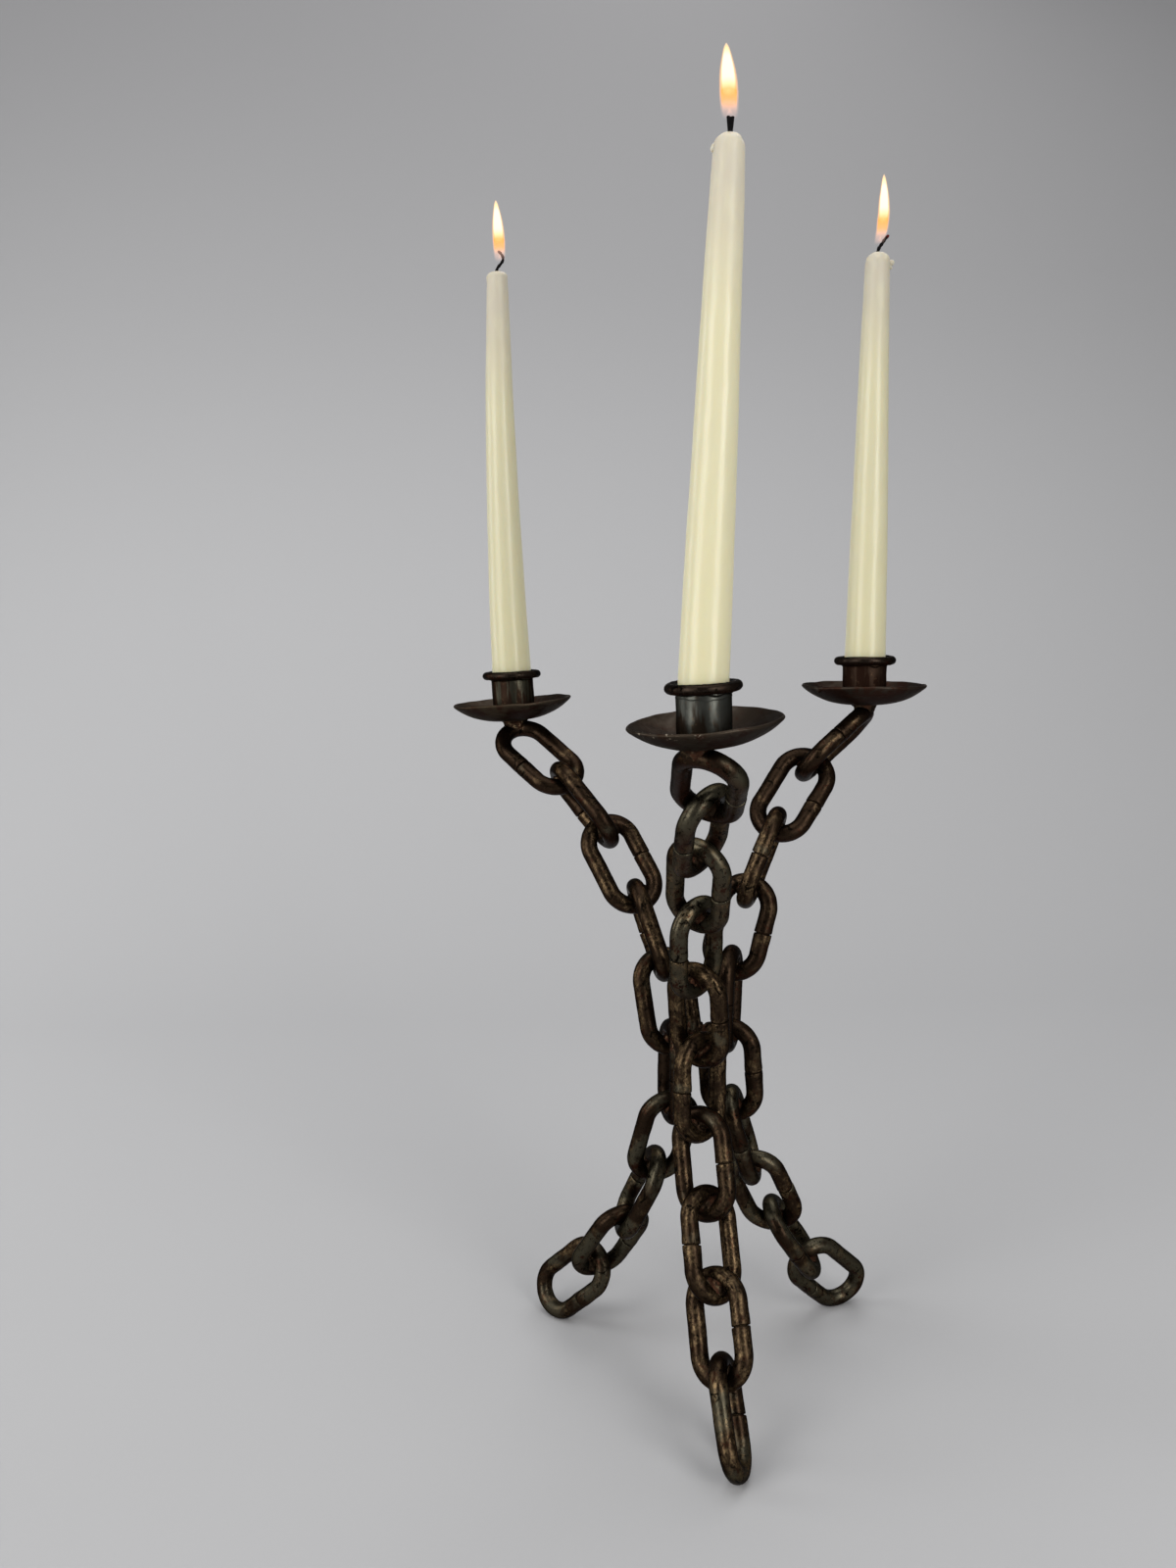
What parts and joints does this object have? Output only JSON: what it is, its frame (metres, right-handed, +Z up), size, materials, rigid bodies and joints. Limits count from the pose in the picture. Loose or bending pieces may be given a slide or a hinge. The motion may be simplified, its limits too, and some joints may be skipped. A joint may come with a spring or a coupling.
{
  "type": "candelabra",
  "caption": "Free-standing candelabra of welded chain links: chain legs meet at a waist and spread into arms that end in dished drip pans with candle cups and tapers.",
  "frame": {"origin": "on the floor, under the middle of the outline seen from above", "axes": "+Z up; -Y towards the front arm, +X towards the right arm"},
  "size_m": [0.2669, 0.2662, 0.6133],
  "materials": {
    "link_iron": "dark brown-black patina with a soft gloss, brass-coloured and rusty patches",
    "weld": "rough weld metal under the same dark patina",
    "pan_iron": "dark brown patina, satin, slightly mottled",
    "cup_steel": "dark grey-brown patina with a blue-grey steel sheen",
    "wax": "ivory candle wax, smooth satin, slightly translucent",
    "wick": "charred braided cotton"
  },
  "bodies": {
    "frame": {"left_link_1": "link_iron", "left_link_2": "link_iron", "left_link_3": "link_iron", "left_link_4": "link_iron", "left_link_5": "link_iron", "left_link_6": "link_iron", "left_link_7": "link_iron", "left_link_8": "link_iron", "left_link_9": "link_iron", "left_link_10": "link_iron", "right_link_1": "link_iron", "right_link_2": "link_iron", "right_link_3": "link_iron", "right_link_4": "link_iron", "right_link_5": "link_iron", "right_link_6": "link_iron", "right_link_7": "link_iron", "right_link_8": "link_iron", "right_link_9": "link_iron", "right_link_10": "link_iron", "front_link_1": "link_iron", "front_link_2": "link_iron", "front_link_3": "link_iron", "front_link_4": "link_iron", "front_link_5": "link_iron", "front_link_6": "link_iron", "front_link_7": "link_iron", "front_link_8": "link_iron", "front_link_9": "link_iron", "front_link_10": "link_iron", "left_link_welds": "weld", "right_link_welds": "weld", "front_link_welds": "weld", "waist_welds": "weld", "left_pan_weld": "weld", "right_pan_weld": "weld", "front_pan_weld": "weld", "left_drip_pan": "pan_iron", "right_drip_pan": "pan_iron", "front_drip_pan": "pan_iron", "left_cup": "cup_steel", "right_cup": "cup_steel", "front_cup": "cup_steel", "left_rim_ring": "link_iron", "right_rim_ring": "link_iron", "front_rim_ring": "link_iron"},
    "left_taper": {"left_candle": "wax", "left_wick": "wick"},
    "right_taper": {"right_candle": "wax", "right_wick": "wick"},
    "front_taper": {"front_candle": "wax", "front_wick": "wick"}
  },
  "joints": [
    {"name": "left_candle_lift", "type": "slide", "parent": "frame", "child": "left_taper", "axis": [-0.0052, 0, 1], "range_m": [0, 0.03]},
    {"name": "right_candle_lift", "type": "slide", "parent": "frame", "child": "right_taper", "axis": [0.0262, 0, 0.9997], "range_m": [0, 0.03]},
    {"name": "front_candle_lift", "type": "slide", "parent": "frame", "child": "front_taper", "axis": [0.0628, 0, 0.998], "range_m": [0, 0.03]}
  ]
}
